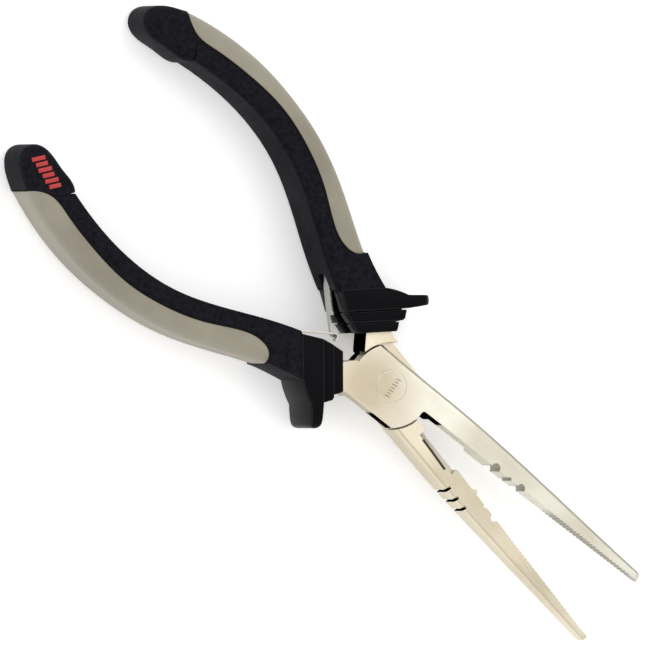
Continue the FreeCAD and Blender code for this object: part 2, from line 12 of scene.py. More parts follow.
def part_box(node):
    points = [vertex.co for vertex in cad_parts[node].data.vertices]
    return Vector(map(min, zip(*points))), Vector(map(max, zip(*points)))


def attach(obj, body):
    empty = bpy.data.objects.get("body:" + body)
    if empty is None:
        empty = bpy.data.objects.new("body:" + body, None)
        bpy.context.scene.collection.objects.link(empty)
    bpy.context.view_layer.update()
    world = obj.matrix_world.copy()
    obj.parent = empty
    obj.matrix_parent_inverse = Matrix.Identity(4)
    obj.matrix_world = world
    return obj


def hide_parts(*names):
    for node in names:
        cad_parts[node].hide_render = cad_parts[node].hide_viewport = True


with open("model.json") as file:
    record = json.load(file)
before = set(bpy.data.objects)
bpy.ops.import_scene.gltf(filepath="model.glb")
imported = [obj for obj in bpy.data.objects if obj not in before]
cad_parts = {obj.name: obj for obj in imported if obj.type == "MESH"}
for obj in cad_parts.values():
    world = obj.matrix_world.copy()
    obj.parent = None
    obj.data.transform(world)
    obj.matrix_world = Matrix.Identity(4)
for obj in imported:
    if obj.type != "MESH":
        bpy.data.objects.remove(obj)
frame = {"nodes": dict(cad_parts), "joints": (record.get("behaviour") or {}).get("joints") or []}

# Looks of the long-nose fishing pliers: satin nickel jaws, black moulded grips with soft
# grey inserts, finger guards, leaf springs, the marks on the cap and joint, and painted
# shade and highlights on the nickel, round the inserts and at the cutter.
# Lengths in the classes are in millimetres unless a name says otherwise.

logging.basicConfig(level=logging.INFO, format="%(message)s")
LOG = logging.getLogger("fishing_pliers")
MM = 0.001
Colour = tuple[float, float, float]
Point = tuple[float, float]
Spot = tuple[float, float, float]     # a place in a half's frame, and how far round it
Reach = tuple[Vector, float]          # a place in the tool's frame, and how far round it
Socket = bpy.types.NodeSocket


def pivot() -> Vector:
    """The middle of the joint, in metres."""
    return Vector(next(j for j in frame["joints"] if j["name"] == "jaw_pivot")["pos_m"])


class Side(Enum):
    """The two halves of the tool: the front one is drawn as it lies, the back one turned over."""

    FRONT = "front"
    BACK = "back"

    @property
    def body(self) -> str:
        """The body that this half's pieces ride on."""
        return f"{self.value}_half"

    def node(self, piece: str) -> str:
        """The full name of one of this half's pieces."""
        return f"{self.value}_{piece}"


# ------------------------------------------------------------------------------ finishes
class Graph:
    """Nodes of one material, wired step by step."""

    def __init__(self, name: str) -> None:
        """Start an empty material with its surface shader.

        Args:
            name: name of the material.
        """
        self.material = bpy.data.materials.new(name)
        self.material.use_nodes = True
        self.tree = self.material.node_tree
        self.tree.nodes.clear()
        self.output = self.tree.nodes.new("ShaderNodeOutputMaterial")
        self.shader = self.tree.nodes.new("ShaderNodeBsdfPrincipled")
        self.tree.links.new(self.shader.outputs["BSDF"], self.output.inputs["Surface"])

    def put(self, kind: str, **values: object) -> bpy.types.Node:
        """Add a node and set its properties.

        Args:
            kind: Blender's name of the node type.
            values: properties of the node.

        Returns:
            The new node.
        """
        node = self.tree.nodes.new(kind)
        for key, value in values.items():
            setattr(node, key, value)
        return node

    def wire(self, source: Socket, target: Socket) -> None:
        """Join two sockets."""
        self.tree.links.new(source, target)

    def fixed(self, **values: object) -> None:
        """Set plain numbers and colours on the shader's own sockets.

        Args:
            values: socket names with underscores for spaces, and their values.
        """
        for key, value in values.items():
            self.shader.inputs[key.replace("_", " ")].default_value = value

    def place(self, stretch: Sequence[float] = (1, 1, 1), turn_degrees: float = 0.0,
              centre: Sequence[float] = (0, 0, 0)) -> Socket:
        """Object coordinates, turned about Z and stretched.

        Args:
            stretch: how much each axis is multiplied.
            turn_degrees: the turn about Z that comes before the stretch.
            centre: the point that becomes the zero, in metres.

        Returns:
            The vector socket to read.
        """
        start = self.put("ShaderNodeTexCoord")
        moved = self.put("ShaderNodeMapping", vector_type="TEXTURE")
        moved.inputs["Location"].default_value = centre
        moved.inputs["Rotation"].default_value = (0, 0, math.radians(turn_degrees))
        moved.inputs["Scale"].default_value = tuple(1 / s for s in stretch)
        self.wire(start.outputs["Object"], moved.inputs["Vector"])
        return moved.outputs["Vector"]

    def noise(self, where: Socket, scale: float, detail: float = 4.0,
              rough: float = 0.55) -> Socket:
        """A cloudy pattern.

        Args:
            where: the coordinates.
            scale: cells per metre.
            detail: number of finer layers.
            rough: weight of the finer layers.

        Returns:
            The pattern's value.
        """
        node = self.put("ShaderNodeTexNoise")
        node.inputs["Scale"].default_value = scale
        node.inputs["Detail"].default_value = detail
        node.inputs["Roughness"].default_value = rough
        self.wire(where, node.inputs["Vector"])
        return node.outputs["Fac"]

    def span(self, value: Socket, low: float, high: float, start: float = 0.3,
             end: float = 0.7) -> Socket:
        """Map a pattern's value to a range of numbers.

        Args:
            value: the pattern.
            low: number where the pattern is at its start.
            high: number where the pattern is at its end.
            start: pattern value that gives low.
            end: pattern value that gives high.

        Returns:
            The number.
        """
        node = self.put("ShaderNodeMapRange")
        node.inputs["From Min"].default_value = start
        node.inputs["From Max"].default_value = end
        node.inputs["To Min"].default_value = low
        node.inputs["To Max"].default_value = high
        self.wire(value, node.inputs["Value"])
        return node.outputs["Result"]

    def blend(self, value: Socket, first: Colour | Socket, second: Colour | Socket,
              start: float = 0.35, end: float = 0.65) -> Socket:
        """Blend two colours by a pattern.

        Args:
            value: the pattern.
            first: colour at the pattern's start.
            second: colour at its end.
            start: pattern value of the first colour.
            end: pattern value of the second colour.

        Returns:
            The colour.
        """
        node = self.put("ShaderNodeMix", data_type="RGBA")
        self.wire(self.span(value, 0.0, 1.0, start, end), node.inputs["Factor"])
        for socket, colour in ((node.inputs[6], first), (node.inputs[7], second)):
            if isinstance(colour, tuple):
                socket.default_value = (*colour, 1.0)
            else:
                self.wire(colour, socket)
        return node.outputs[2]

    def edges(self, radius: float) -> Socket:
        """How near a sharp edge a point is.

        Args:
            radius: reach from the edge, in millimetres.

        Returns:
            0 on flat stretches, and up to 1 at an edge.
        """
        glint_and_wear = self.put("ShaderNodeBevel", samples=4)
        glint_and_wear.inputs["Radius"].default_value = radius * MM
        plain = self.put("ShaderNodeNewGeometry")
        turn = self.put("ShaderNodeVectorMath", operation="DOT_PRODUCT")
        self.wire(glint_and_wear.outputs["Normal"], turn.inputs[0])
        self.wire(plain.outputs["Normal"], turn.inputs[1])
        return self.span(turn.outputs["Value"], 1.0, 0.0, 0.72, 0.99)

    def near(self, centre: Vector, inner: float, outer: float) -> Socket:
        """How near a point is to a centre, in plan.

        Args:
            centre: the centre, in metres.
            inner: distance that still counts as near, in millimetres.
            outer: distance that counts as far, in millimetres.

        Returns:
            1 near the centre, and 0 far from it.
        """
        here = self.put("ShaderNodeTexCoord")
        plan = self.put("ShaderNodeVectorMath", operation="MULTIPLY")
        plan.inputs[1].default_value = (1, 1, 0)
        self.wire(here.outputs["Object"], plan.inputs[0])
        away = self.put("ShaderNodeVectorMath", operation="DISTANCE")
        away.inputs[1].default_value = (centre.x, centre.y, 0)
        self.wire(plan.outputs["Vector"], away.inputs[0])
        return self.span(away.outputs["Value"], 1.0, 0.0, inner * MM, outer * MM)

    def facing(self, axis: str) -> Socket:
        """One component of the surface's direction.

        Args:
            axis: X, Y or Z.

        Returns:
            The component, from -1 to 1.
        """
        way = self.put("ShaderNodeNewGeometry")
        parts = self.put("ShaderNodeSeparateXYZ")
        self.wire(way.outputs["Normal"], parts.inputs["Vector"])
        return parts.outputs[axis]

    def upright(self) -> Socket:
        """Where the surface is an upright wall.

        Returns:
            1 on walls, and 0 on level faces.
        """
        return self.span(self.lean("Z"), 1.0, 0.0, 0.3, 0.6)

    def lean(self, axis: str) -> Socket:
        """The size of one component of the surface's direction.

        Args:
            axis: X, Y or Z.

        Returns:
            The size, from 0 to 1.
        """
        size = self.put("ShaderNodeMath", operation="ABSOLUTE")
        self.wire(self.facing(axis), size.inputs[0])
        return size.outputs["Value"]

    def joined(self, operation: str, first: Socket, second: Socket) -> Socket:
        """Two masks combined into one between 0 and 1.

        Args:
            operation: Blender's name of the operation.
            first: one mask.
            second: the other mask.

        Returns:
            The combined mask.
        """
        node = self.put("ShaderNodeMath", operation=operation, use_clamp=True)
        self.wire(first, node.inputs[0])
        self.wire(second, node.inputs[1])
        return node.outputs["Value"]

    def relief(self, height: Socket, depth: float, strength: float = 1.0,
               under: Optional[Socket] = None) -> Socket:
        """Bump from a pattern.

        Args:
            height: the pattern.
            depth: its real depth in millimetres.
            strength: share of the full effect.
            under: another relief to lie on.

        Returns:
            The normal socket.
        """
        node = self.put("ShaderNodeBump")
        node.inputs["Strength"].default_value = strength
        node.inputs["Distance"].default_value = depth * MM
        self.wire(height, node.inputs["Height"])
        if under is not None:
            self.wire(under, node.inputs["Normal"])
        return node.outputs["Normal"]

    def finish(self, colour: Socket, roughness: Socket, normal: Socket) -> bpy.types.Material:
        """Wire the three patterned inputs and give the material.

        Args:
            colour: base colour.
            roughness: roughness.
            normal: relief.

        Returns:
            The material.
        """
        self.wire(colour, self.shader.inputs["Base Color"])
        self.wire(roughness, self.shader.inputs["Roughness"])
        self.wire(normal, self.shader.inputs["Normal"])
        return self.material


@dataclass(frozen=True)
class SatinNickel:
    """Satin nickel plate over ground steel, with grinding lines along the piece.

    The side tone is painted light: on sides that face +Y it is painted shade where it is dark
    and a painted highlight where it is pale, and on the upright faces of the recesses it is
    painted shade. A darker, brownish painted reflection lies round one place, and near-black
    painted shade, with the reflections turned off, darkens the upright faces in the shades and
    in the saw cuts. Lighter colour along sharp edges is a painted highlight.
    """

    name: str
    bright: Colour = (0.71, 0.69, 0.61)
    warm: Colour = (0.60, 0.56, 0.465)
    # lighter grinding streaks are the plate's grain; the same colour along sharp edges is a
    # painted highlight
    glint_and_wear: Colour = (0.86, 0.84, 0.77)
    # painted reflection: a darker, brownish tone round one place on the disc
    dim_reflection: Colour = (0.455, 0.395, 0.29)
    # side tone: painted shade when dark, a painted highlight when pale
    painted_side_tone: Colour = (0.24, 0.225, 0.17)
    # near-black painted shade for the upright faces in corners and saw cuts
    painted_shade_dark: Colour = (0.022, 0.018, 0.013)
    # where the painted darker reflection is centred
    dim_reflection_at: Optional[Vector] = None
    shades: tuple[Reach, ...] = ()
    # recesses whose upright faces take the side tone as painted shade
    shaded_hollows: tuple[Reach, ...] = ()
    # saw cuts whose upright faces take near-black painted shade
    shaded_saw_cuts: Optional[Vector] = None
    turn: float = 0.0
    low_rough: float = 0.26
    high_rough: float = 0.38

    def material(self) -> bpy.types.Material:
        """Build the material.

        Returns:
            The finished material.
        """
        graph = Graph(self.name)
        grind = graph.noise(graph.place((6, 160, 160), self.turn), 18, 6, 0.65)
        fine = graph.noise(graph.place((40, 900, 900), self.turn), 12, 3, 0.6)
        cloud = graph.noise(graph.place((1, 1.6, 1), self.turn), 38, 3, 0.5)
        plate = graph.blend(cloud, self.bright, self.warm, 0.38, 0.66)
        ground = graph.blend(grind, plate, self.glint_and_wear, 0.55, 1.1)
        # Painted reflection: the plate darkens to a brownish tone round one place.
        if self.dim_reflection_at is not None:
            ground = graph.blend(graph.near(self.dim_reflection_at, 5.0, 17.0), ground, self.dim_reflection, 0.0, 1.0)
        # Painted highlight: lighter colour along sharp edges.
        colour = graph.blend(graph.edges(0.35), ground, self.glint_and_wear, 0.1, 1.0)
        # Painted light by direction: sides that face +Y take the side tone, painted shade when
        # dark and a painted highlight when pale.
        colour = graph.blend(graph.facing("Y"), colour, self.painted_side_tone, 0.25, 0.75)
        graph.fixed(Metallic=1.0, IOR=1.9)
        # Painted shade on the upright faces of the recesses.
        if self.shaded_hollows:
            colour = graph.blend(self.walls(graph, self.shaded_hollows), colour, self.painted_side_tone, 0.0, 1.0)
        if self.shades:
            colour = self.darkened(graph, colour)
        rough = graph.span(grind, self.low_rough, self.high_rough)
        soft = graph.put("ShaderNodeBevel", samples=4)
        soft.inputs["Radius"].default_value = 0.25 * MM
        swell = graph.relief(graph.noise(graph.place(turn_degrees=self.turn), 42, 1), 0.9, 0.6,
                             soft.outputs["Normal"])
        coarse = graph.relief(grind, 0.012, 0.5, swell)
        return graph.finish(colour, rough, graph.relief(fine, 0.004, 0.4, coarse))

    def walls(self, graph: Graph, spots: tuple[Reach, ...]) -> Socket:
        """The upright walls near some spots.

        Args:
            graph: the material's nodes.
            spots: centres, and how far round them in millimetres.

        Returns:
            1 on those walls, and 0 elsewhere.
        """
        mask: Optional[Socket] = None
        for centre, reach in spots:
            near = graph.near(centre, 0.8 * reach, reach)
            mask = near if mask is None else graph.joined("ADD", mask, near)
        return graph.joined("MULTIPLY", mask, graph.upright())

    def darkened(self, graph: Graph, colour: Socket) -> Socket:
        """Paint near-black shade on the upright walls in the corners and in the saw cuts, and
        turn their reflections off.

        Args:
            graph: the material's nodes.
            colour: the plate's colour.

        Returns:
            The colour with the painted shade.
        """
        # Painted shade: near-black on the upright faces round the shade spots and in the saw
        # cuts.
        mask = self.walls(graph, self.shades)
        if self.shaded_saw_cuts is not None:
            across = graph.span(graph.lean("X"), 0.0, 1.0, 0.45, 0.7)
            cuts = graph.joined("MULTIPLY", graph.near(self.shaded_saw_cuts, 5.0, 5.5), across)
            mask = graph.joined("ADD", mask, cuts)
        # Painted shade: the reflections are turned off there too.
        tint = graph.blend(mask, (1.0, 1.0, 1.0), (0.0, 0.0, 0.0), 0.0, 1.0)
        graph.wire(tint, graph.shader.inputs["Specular Tint"])
        return graph.blend(mask, colour, self.painted_shade_dark, 0.0, 1.0)


@dataclass(frozen=True)
class TurnedSteel:
    """Rivet steel with faint rings from its forming, centred on one point."""

    name: str
    centre: Vector
    bright: Colour = (0.84, 0.79, 0.69)
    dull: Colour = (0.66, 0.60, 0.49)

    def material(self) -> bpy.types.Material:
        """Build the material.

        Returns:
            The finished material.
        """
        graph = Graph(self.name)
        where = graph.place(centre=tuple(self.centre))
        rings = graph.put("ShaderNodeTexWave", wave_type="RINGS", rings_direction="Z")
        rings.inputs["Scale"].default_value = 900
        rings.inputs["Distortion"].default_value = 1.5
        rings.inputs["Detail"].default_value = 2
        graph.wire(where, rings.inputs["Vector"])
        spots = graph.noise(where, 700, 4)
        colour = graph.blend(spots, self.bright, self.dull, 0.4, 0.75)
        graph.fixed(Metallic=1.0, IOR=1.9)
        rough = graph.span(spots, 0.25, 0.40)
        return graph.finish(colour, rough, graph.relief(rings.outputs["Fac"], 0.006, 0.3))


@dataclass(frozen=True)
class Moulding:
    """Moulded black plastic or rubber: a fine spark-eroded texture, with lighter colour along the
    edges as a painted highlight.
    """

    name: str
    base: Colour = (0.0045, 0.0045, 0.006)
    dusty: Colour = (0.017, 0.017, 0.023)
    # lighter colour along the edges: a painted highlight
    glint_and_wear: Colour = (0.018, 0.017, 0.018)
    texture: float = 2600.0
    depth: float = 0.045
    low_rough: float = 0.42
    high_rough: float = 0.58
    edge: float = 0.5
    gloss: float = 0.014
    rounding: float = 0.3

    def material(self) -> bpy.types.Material:
        """Build the material.

        Returns:
            The finished material.
        """
        graph = Graph(self.name)
        where = graph.place()
        spark = graph.noise(where, self.texture, 3, 0.6)
        mottle = graph.noise(where, self.texture * 0.28, 5, 0.7)
        cloud = graph.noise(where, 60, 3)
        body = graph.blend(mottle, self.base, self.dusty, 0.32, 0.85)
        # Painted highlight: lighter colour along the edges.
        colour = graph.blend(graph.edges(self.edge), body, self.glint_and_wear, 0.25, 1.0)
        graph.fixed(Specular_IOR_Level=self.gloss)
        rough = graph.span(cloud, self.low_rough, self.high_rough)
        soft = graph.put("ShaderNodeBevel", samples=6)
        soft.inputs["Radius"].default_value = self.rounding * MM
        low = graph.relief(mottle, self.depth * 0.7, 0.5, soft.outputs["Normal"])
        return graph.finish(colour, rough, graph.relief(spark, self.depth, 0.6, low))


@dataclass(frozen=True)
class SoftInsert:
    """Soft grey-beige rubber with a faint bloom and a fine matt grain."""

    name: str
    base: Colour = (0.222, 0.200, 0.152)
    bloom: Colour = (0.285, 0.260, 0.203)
    grime: Colour = (0.20, 0.175, 0.13)

    def material(self) -> bpy.types.Material:
        """Build the material.

        Returns:
            The finished material.
        """
        graph = Graph(self.name)
        where = graph.place()
        grain = graph.noise(where, 2200, 3, 0.6)
        cloud = graph.noise(where, 45, 4, 0.6)
        speck = graph.noise(where, 900, 5, 0.75)
        soft = graph.blend(cloud, self.base, self.bloom, 0.36, 0.66)
        colour = graph.blend(speck, soft, self.grime, 0.66, 0.98)
        graph.fixed(Specular_IOR_Level=0.35, Sheen_Weight=0.12, Sheen_Roughness=0.5)
        rough = graph.span(cloud, 0.55, 0.70)
        low = graph.relief(speck, 0.03, 0.3)
        return graph.finish(colour, rough, graph.relief(grain, 0.03, 0.5, low))


@dataclass(frozen=True)
class PrintedRed:
    """Red pad-printed ink, thin at its edges and slightly rubbed."""

    name: str
    ink: Colour = (0.40, 0.014, 0.012)
    rubbed: Colour = (0.20, 0.012, 0.011)

    def material(self) -> bpy.types.Material:
        """Build the material.

        Returns:
            The finished material.
        """
        graph = Graph(self.name)
        where = graph.place()
        rub = graph.noise(where, 1400, 5, 0.7)
        colour = graph.blend(rub, self.ink, self.rubbed, 0.60, 0.85)
        rough = graph.span(rub, 0.32, 0.50)
        return graph.finish(colour, rough, graph.relief(rub, 0.02, 0.4))


@dataclass(frozen=True)
class DarkEtchAndShadow:
    """Dark oxide left by electro-etching on nickel plate; as the bar at the cutter, the same
    finish is a painted shadow.
    """

    name: str
    dark: Colour = (0.16, 0.13, 0.09)
    light: Colour = (0.42, 0.36, 0.27)

    def material(self) -> bpy.types.Material:
        """Build the material.

        Returns:
            The finished material.
        """
        graph = Graph(self.name)
        where = graph.place()
        mottle = graph.noise(where, 3000, 4, 0.7)
        colour = graph.blend(mottle, self.dark, self.light, 0.35, 0.7)
        graph.fixed(Metallic=0.6)
        rough = graph.span(mottle, 0.5, 0.7)
        return graph.finish(colour, rough, graph.relief(mottle, 0.01, 0.5))


@dataclass(frozen=True)
class PaleFloor:
    """A plain pale matt surface, lit a little from below like a light table."""

    name: str
    tone: Colour = (0.94, 0.94, 0.94)
    glow: float = 0.26

    def material(self) -> bpy.types.Material:
        """Build the material.

        Returns:
            The finished material.
        """
        graph = Graph(self.name)
        graph.fixed(Emission_Color=(1.0, 1.0, 1.0, 1.0), Emission_Strength=self.glow)
        cloud = graph.noise(graph.place(), 9, 2)
        near = tuple(0.985 * c for c in self.tone)
        colour = graph.blend(cloud, self.tone, near)
        rough = graph.span(cloud, 0.85, 0.95)
        return graph.finish(colour, rough, graph.relief(cloud, 0.02, 0.1))


# ------------------------------------------------------------------------------ hand tools
class Bench:
    """Modelling by hand on one object at a time."""

    SMOOTH_ANGLE = 38.0     # edges sharper than this stay crisp, in degrees
    SEW_REACH = 2e-6        # corners nearer than this are sewn together, in metres
    LEVEL_ANGLE = 0.3       # faces that turn less than this are joined, in degrees

    @staticmethod
    def hold(piece: bpy.types.Object) -> None:
        """Select one object alone and make it active.

        Args:
            piece: the object.
        """
        bpy.ops.object.select_all(action="DESELECT")
        piece.select_set(True)
        bpy.context.view_layer.objects.active = piece

    @staticmethod
    def edit(piece: bpy.types.Object, work: Callable[[], None]) -> None:
        """Work on a whole mesh in edit mode.

        Args:
            piece: the mesh object.
            work: what is done with everything selected.
        """
        Bench.hold(piece)
        bpy.ops.object.mode_set(mode="EDIT")
        bpy.ops.mesh.select_mode(type="VERT")
        bpy.ops.mesh.select_all(action="SELECT")
        work()
        bpy.ops.object.mode_set(mode="OBJECT")

    @staticmethod
    def settle(piece: bpy.types.Object) -> None:
        """Put the object's place into its mesh."""
        Bench.hold(piece)
        bpy.ops.object.transform_apply(location=True, rotation=True, scale=True)

    @staticmethod
    def bevelled(piece: bpy.types.Object, width: float, segments: int = 3,
                 angle: float = 35.0) -> None:
        """Round the sharp edges and shade the result smooth.

        Args:
            piece: the mesh object.
            width: width of the rounding in millimetres.
            segments: steps of the rounding.
            angle: edges sharper than this are rounded, in degrees.
        """
        Bench.hold(piece)
        if width > 0:
            bevel = piece.modifiers.new("Rounding", "BEVEL")
            bevel.width = width * MM
            bevel.segments = segments
            bevel.limit_method = "ANGLE"
            bevel.angle_limit = math.radians(angle)
            bevel.use_clamp_overlap = True
            bpy.ops.object.modifier_apply(modifier=bevel.name)
        bpy.ops.object.shade_smooth_by_angle(angle=math.radians(Bench.SMOOTH_ANGLE))

    @staticmethod
    def bar(name: str, at: Vector, size: tuple[float, float, float], turn: float,
            tilt: float = 0.0) -> bpy.types.Object:
        """A thin bar with rounded corners.

        Args:
            name: name of the piece.
            at: its centre in the tool's frame, in metres.
            size: length, width and height.
            turn: turn of its length in plan, in degrees.
            tilt: how steeply its length falls, in degrees.

        Returns:
            The bar, with its object at the origin.
        """
        bpy.ops.object.select_all(action="DESELECT")
        bpy.ops.mesh.primitive_cube_add(size=1.0, location=at)
        piece = bpy.context.active_object
        piece.name = name
        piece.scale = tuple(s * MM for s in size)
        piece.rotation_euler = (0, math.radians(tilt), math.radians(turn))
        Bench.settle(piece)
        Bench.bevelled(piece, min(size[1] * 0.3, size[2] * 0.45), 3)
        return piece

    @staticmethod
    def merged_copy(node: str, name: str) -> bpy.types.Object:
        """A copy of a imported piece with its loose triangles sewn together.

        Args:
            node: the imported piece.
            name: name of the copy.

        Returns:
            The copy.
        """
        copy = bpy.data.objects.new(name, frame["nodes"][node].data.copy())
        copy.data.name = name
        copy.data.materials.clear()
        bpy.context.scene.collection.objects.link(copy)
        Bench.hold(copy)
        if copy.data.has_custom_normals:
            bpy.ops.mesh.customdata_custom_splitnormals_clear()

        def sew() -> None:
            """Sew the corners and join the level faces."""
            bpy.ops.mesh.remove_doubles(threshold=Bench.SEW_REACH)
            bpy.ops.mesh.dissolve_limited(angle_limit=math.radians(Bench.LEVEL_ANGLE))

        Bench.edit(copy, sew)
        return copy


@dataclass(frozen=True)
class HalfFrame:
    """The flat frame of one half, with the pivot at zero and the jaws closed."""

    side: Side
    swing: float = 6.6

    def place(self) -> Matrix:
        """Where this frame stands in the tool, at rest, in metres.

        Returns:
            The placing matrix.
        """
        lift = Matrix.Translation(pivot())
        if self.side is Side.FRONT:
            return lift @ Matrix.Rotation(math.radians(self.swing), 4, "Z")
        over = Matrix.Rotation(math.pi, 4, "X")
        return lift @ Matrix.Rotation(math.radians(-self.swing), 4, "Z") @ over

    def point(self, x: float, y: float, z: float) -> Vector:
        """A point of the half in the tool's frame, in metres."""
        return self.place() @ (Vector((x, y, z)) * MM)


# ------------------------------------------------------------------------------ sub-assemblies
@dataclass
class Workshop:
    """Materials shared by the sub-assemblies, each made once."""

    made: dict[str, bpy.types.Material] = field(default_factory=dict)

    def coat(self, piece: bpy.types.Object, finish: object) -> None:
        """Give a piece one finish in all its slots.

        Args:
            piece: the object.
            finish: one of the finish classes.
        """
        if finish.name not in self.made:
            self.made[finish.name] = finish.material()
        piece.data.materials.clear()
        piece.data.materials.append(self.made[finish.name])

    def report(self, piece: bpy.types.Object, body: str) -> None:
        """Log a finished piece with the body that it rides on."""
        LOG.info("%s rides on %s", piece.name, body)


@dataclass
class SteelHalf:
    """The forged jaw, disc and tang of one half, with the places of its painted shade and painted
    reflection in its own frame.
    """

    side: Side
    shop: Workshop
    # Spots whose upright faces take near-black painted shade; at the neck it stands for the dark
    # reflection of the black grips.
    throat: Spot = (14.8, 0.0, 3.6)
    heel: Spot = (5.5, -10.5, 6.5)
    neck: Spot = (-15.0, -2.0, 9.5)
    # recesses whose upright faces take the side tone as painted shade
    shaded_hollows: tuple[Spot, ...] = ((37.6, 0.15, 1.8), (42.6, 0.15, 1.0), (46.8, 0.15, 1.6),
                                 (76.0, 0.15, 20.0))
    # centre of the painted darker reflection on the disc
    dim_reflection_at: Point = (-5.0, -3.5)
    # the saw cuts, whose upright faces take near-black painted shade
    shaded_saw_cuts: Point = (35.3, 6.0)

    def reaches(self, *spots: Spot) -> tuple[Reach, ...]:
        """The spots in the tool's frame.

        Args:
            spots: places in this half's frame.

        Returns:
            The same places in the tool's frame.
        """
        half = HalfFrame(self.side)
        return tuple((half.point(x, y, 0.0), reach) for x, y, reach in spots)

    def finish(self) -> SatinNickel:
        """The plate of this half; the back half's is darker and warmer, a painted brownish
        reflection, and its pale side tone is a painted highlight.

        Returns:
            The finish.
        """
        half = HalfFrame(self.side)
        if self.side is Side.FRONT:
            return SatinNickel("front_nickel", dim_reflection_at=half.point(*self.dim_reflection_at, 0.0),
                               shades=self.reaches(self.throat, self.heel),
                               shaded_hollows=self.reaches(*self.shaded_hollows), turn=half.swing)
        # Back half: the darker, warmer plate is a painted reflection; the pale side tone is a
        # painted highlight.
        return SatinNickel("back_nickel", bright=(0.66, 0.60, 0.47), warm=(0.56, 0.495, 0.365),
                           painted_side_tone=(0.72, 0.68, 0.58), shades=self.reaches(self.neck),
                           shaded_saw_cuts=half.point(*self.shaded_saw_cuts, 0.0), turn=-half.swing)

    def build(self) -> None:
        """Plate the forging."""
        node = frame["nodes"][self.side.node("jaw_half")]
        self.shop.coat(node, self.finish())
        self.shop.report(node, self.side.body)


@dataclass
class Mouldings:
    """Core, skin, insert, cap and guard of one handle."""

    side: Side
    shop: Workshop
    skin_edge: float = 0.5
    insert_edge: float = 0.35
    cap_edge: float = 0.4
    guard_edge: float = 0.3

    def pieces(self) -> list[tuple[str, float, object, str]]:
        """The pieces with their edge rounding, finish and slot.

        Returns:
            One entry for each piece.
        """
        return [
            ("grip_skin", self.skin_edge, Moulding("grip_texture"), "grip_black"),
            ("grip_insert", self.insert_edge, SoftInsert("insert_rubber"), "insert_grey"),
            ("end_cap", self.cap_edge,
             Moulding("cap_texture", texture=2900, depth=0.035, gloss=0.015), "cap_black"),
            # The guard's pale edge colour paints highlights along its ridges.
            ("finger_guard", self.guard_edge,
             Moulding("guard_satin", dusty=(0.006, 0.0055, 0.006), glint_and_wear=(0.06, 0.06, 0.065),
                      texture=3200, depth=0.012, low_rough=0.20, high_rough=0.30, edge=0.6,
                      gloss=0.02, rounding=1.3), "guard_black"),
        ]

    def build(self) -> None:
        """Round the mouldings' edges and finish them."""
        for piece_name, width, finish, slot in self.pieces():
            node = self.side.node(piece_name)
            piece = Bench.merged_copy(node, f"{node}_moulded")
            Bench.bevelled(piece, width)
            self.shop.coat(piece, finish)
            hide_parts(node)
            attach(piece, self.side.body)
            self.shop.report(piece, self.side.body)
        core = frame["nodes"][self.side.node("grip_core")]
        self.shop.coat(core, Moulding("core_plastic", dusty=(0.03, 0.03, 0.03), texture=900))


@dataclass
class InsertSeam:
    """Painted shade: a thin near-black bead along the parting line all round one soft insert."""

    side: Side
    shop: Workshop
    width: float = 0.42
    core_half: float = 6.6
    corner_reach: float = 3.0
    sharp_angle: float = 42.0
    corners: tuple[Point, Point] = ((-116.4, -21.3), (-31.2, -18.3))

    def on_outside(self, middle: Vector) -> bool:
        """Whether a point of a sharp edge is on the visible seam, not on the hidden core's space.

        Args:
            middle: the edge's middle point in the tool's frame, in metres.

        Returns:
            True on the visible seam.
        """
        half = HalfFrame(self.side)
        local = half.place().inverted() @ middle
        if abs(local.z) > self.core_half * MM:
            return True
        return any((local.xy - Vector(c) * MM).length < self.corner_reach * MM
                   for c in self.corners)

    def build(self) -> None:
        """Follow the insert's sharp edges with a slim bead, coloured near black as painted shade.
        """
        node = self.side.node("grip_insert")
        piece = Bench.merged_copy(node, f"{node}_seam")
        Bench.hold(piece)
        bpy.ops.object.mode_set(mode="EDIT")
        bpy.ops.mesh.select_mode(type="EDGE")
        bpy.ops.mesh.select_all(action="DESELECT")
        bpy.ops.mesh.edges_select_sharp(sharpness=math.radians(self.sharp_angle))
        bpy.ops.object.mode_set(mode="OBJECT")
        mesh = piece.data
        for edge in mesh.edges:
            ends = [mesh.vertices[i].co for i in edge.vertices]
            edge.select = edge.select and self.on_outside((ends[0] + ends[1]) / 2)
        bpy.ops.object.mode_set(mode="EDIT")
        bpy.ops.mesh.select_all(action="INVERT")
        bpy.ops.mesh.delete(type="EDGE_FACE")
        bpy.ops.mesh.select_all(action="SELECT")
        bpy.ops.mesh.delete_loose(use_verts=True, use_edges=False, use_faces=False)
        bpy.ops.object.mode_set(mode="OBJECT")
        bpy.ops.object.convert(target="CURVE")
        curve = bpy.context.active_object
        curve.data.bevel_depth = self.width / 2 * MM
        curve.data.bevel_resolution = 2
        curve.data.use_fill_caps = True
        bpy.ops.object.convert(target="MESH")
        seam = bpy.context.active_object
        seam.name = f"{self.side.value}_insert_seam_shadow"
        Bench.edit(seam, lambda: bpy.ops.mesh.normals_make_consistent(inside=False))
        Bench.settle(seam)
        bpy.ops.object.shade_smooth_by_angle(angle=math.radians(60))
        # Painted shade: the bead's near-black colour stands for the shade in the seam.
        self.shop.coat(seam, Moulding("seam_shadow", base=(0.006, 0.004, 0.003),
                                      dusty=(0.014, 0.010, 0.008)))
        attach(seam, self.side.body)
        self.shop.report(seam, self.side.body)


